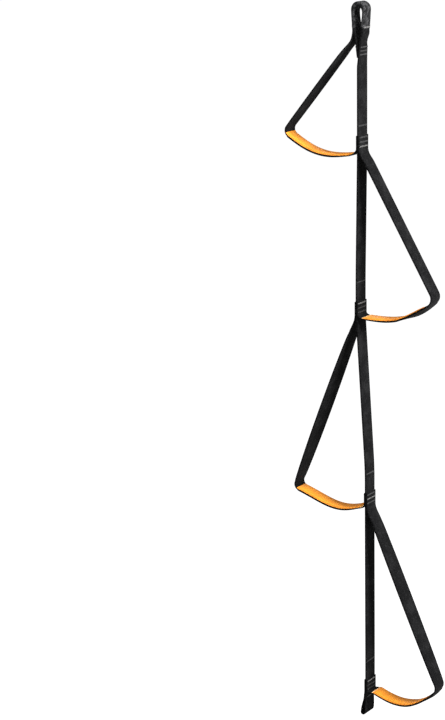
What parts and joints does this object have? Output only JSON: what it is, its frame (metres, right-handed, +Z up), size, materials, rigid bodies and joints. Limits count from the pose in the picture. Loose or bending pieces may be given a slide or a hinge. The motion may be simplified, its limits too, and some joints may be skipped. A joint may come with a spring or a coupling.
{
  "type": "webbing climbing ladder",
  "caption": "Webbing climbing ladder: a clip loop over a flat tape spine with stiffened, lined stirrup steps on alternating sides and a small tail loop.",
  "frame": {"origin": "inner surface of the clip loop's crown, at its middle, where the carabiner bears", "axes": "+Z up along the hanging ladder, X across the steps with the top step on -X, Y across the tape's width"},
  "size_m": [0.2999, 0.03, 1.2383],
  "materials": {
    "webbing": "woven nylon tape, matt, fine diagonal rib, darker tight selvedges",
    "sleeve": "tubular nylon sleeve with a coarse cross weave, matt",
    "thread": "bonded polyester thread, slight sheen",
    "liner": "woven polyester liner tape, matt orange",
    "stiffener": "polyethylene strip"
  },
  "bodies": {
    "head": {"clip_loop_tape": "webbing", "loop_sleeve": "sleeve", "sleeve_bar_tacks": "thread"},
    "section_1": {"spine_tape_1": "webbing", "step_tape_end_1": "webbing", "block_bar_tacks_1": "thread", "leg_neck_1": "webbing", "tread_neck_1": "webbing", "leg_head_2": "webbing", "neck_tape": "webbing", "neck_gusset": "webbing", "neck_lap": "webbing", "lap_bar_tacks": "thread"},
    "section_2": {"spine_tape_2": "webbing", "step_tape_end_2": "webbing", "block_bar_tacks_2": "thread", "leg_neck_2": "webbing", "tread_neck_2": "webbing", "leg_head_3": "webbing"},
    "section_3": {"spine_tape_3": "webbing", "step_tape_end_3": "webbing", "block_bar_tacks_3": "thread", "leg_neck_3": "webbing", "tread_neck_3": "webbing", "leg_head_4": "webbing"},
    "section_4": {"spine_tape_4": "webbing", "step_tape_end_4": "webbing", "block_bar_tacks_4": "thread", "leg_neck_4": "webbing", "tread_neck_4": "webbing", "tail_tape_end": "webbing", "tail_neck": "webbing"},
    "stirrup_1": {"leg_tape_1": "webbing", "tread_tape_1": "webbing", "tread_stiffener_1": "stiffener", "tread_liner_1": "liner", "liner_stitching_1": "thread"},
    "stirrup_2": {"leg_tape_2": "webbing", "tread_tape_2": "webbing", "tread_stiffener_2": "stiffener", "tread_liner_2": "liner", "liner_stitching_2": "thread"},
    "stirrup_3": {"leg_tape_3": "webbing", "tread_tape_3": "webbing", "tread_stiffener_3": "stiffener", "tread_liner_3": "liner", "liner_stitching_3": "thread"},
    "stirrup_4": {"leg_tape_4": "webbing", "tread_tape_4": "webbing", "tread_stiffener_4": "stiffener", "tread_liner_4": "liner", "liner_stitching_4": "thread"},
    "tail": {"tail_loop": "webbing", "tail_bar_tack": "thread"}
  },
  "joints": [
    {"name": "neck_fold", "type": "hinge", "parent": "head", "child": "section_1", "pos_m": [0, 0, -0.05], "axis": [0, 1, 0], "range_deg": [-90, 70], "stiffness_Nm_per_rad": 0.15, "springref_deg": -2.91, "deforming": ["leg_neck_1", "neck_tape", "neck_gusset"]},
    {"name": "block_1_fold", "type": "hinge", "parent": "section_1", "child": "section_2", "pos_m": [0.002, 0, -0.236], "axis": [0, -1, 0], "range_deg": [-45, 110], "stiffness_Nm_per_rad": 0.15, "springref_deg": 5.66, "deforming": ["leg_neck_2"]},
    {"name": "block_2_fold", "type": "hinge", "parent": "section_2", "child": "section_3", "pos_m": [-0.001, 0, -0.514], "axis": [0, 1, 0], "range_deg": [-45, 110], "stiffness_Nm_per_rad": 0.15, "springref_deg": -2.64, "deforming": ["leg_neck_3"]},
    {"name": "block_3_fold", "type": "hinge", "parent": "section_3", "child": "section_4", "pos_m": [0.017, 0, -0.847], "axis": [0, -1, 0], "range_deg": [-45, 110], "stiffness_Nm_per_rad": 0.15, "springref_deg": 3.99, "deforming": ["leg_neck_4"]},
    {"name": "step_1_swing", "type": "hinge", "parent": "section_1", "child": "stirrup_1", "pos_m": [0.002, 0, -0.236], "axis": [-0.0108, 0, 0.9999], "range_deg": [-35, 35], "stiffness_Nm_per_rad": 0.02, "deforming": ["leg_neck_1", "tread_neck_1"]},
    {"name": "step_2_swing", "type": "hinge", "parent": "section_2", "child": "stirrup_2", "pos_m": [-0.001, 0, -0.514], "axis": [0.0108, 0, 0.9999], "range_deg": [-35, 35], "stiffness_Nm_per_rad": 0.02, "deforming": ["leg_neck_2", "tread_neck_2"]},
    {"name": "step_3_swing", "type": "hinge", "parent": "section_3", "child": "stirrup_3", "pos_m": [0.017, 0, -0.847], "axis": [-0.054, 0, 0.9985], "range_deg": [-35, 35], "stiffness_Nm_per_rad": 0.02, "deforming": ["leg_neck_3", "tread_neck_3"]},
    {"name": "step_4_swing", "type": "hinge", "parent": "section_4", "child": "stirrup_4", "pos_m": [0.018, 0, -1.19], "axis": [-0.0029, 0, 1], "range_deg": [-35, 35], "stiffness_Nm_per_rad": 0.02, "deforming": ["leg_neck_4", "tread_neck_4"]},
    {"name": "tail_fold", "type": "hinge", "parent": "section_4", "child": "tail", "pos_m": [0.018, 0, -1.19], "axis": [0, 1, 0], "range_deg": [-60, 100], "stiffness_Nm_per_rad": 0.02, "springref_deg": 0.17, "deforming": ["tail_neck"]}
  ]
}
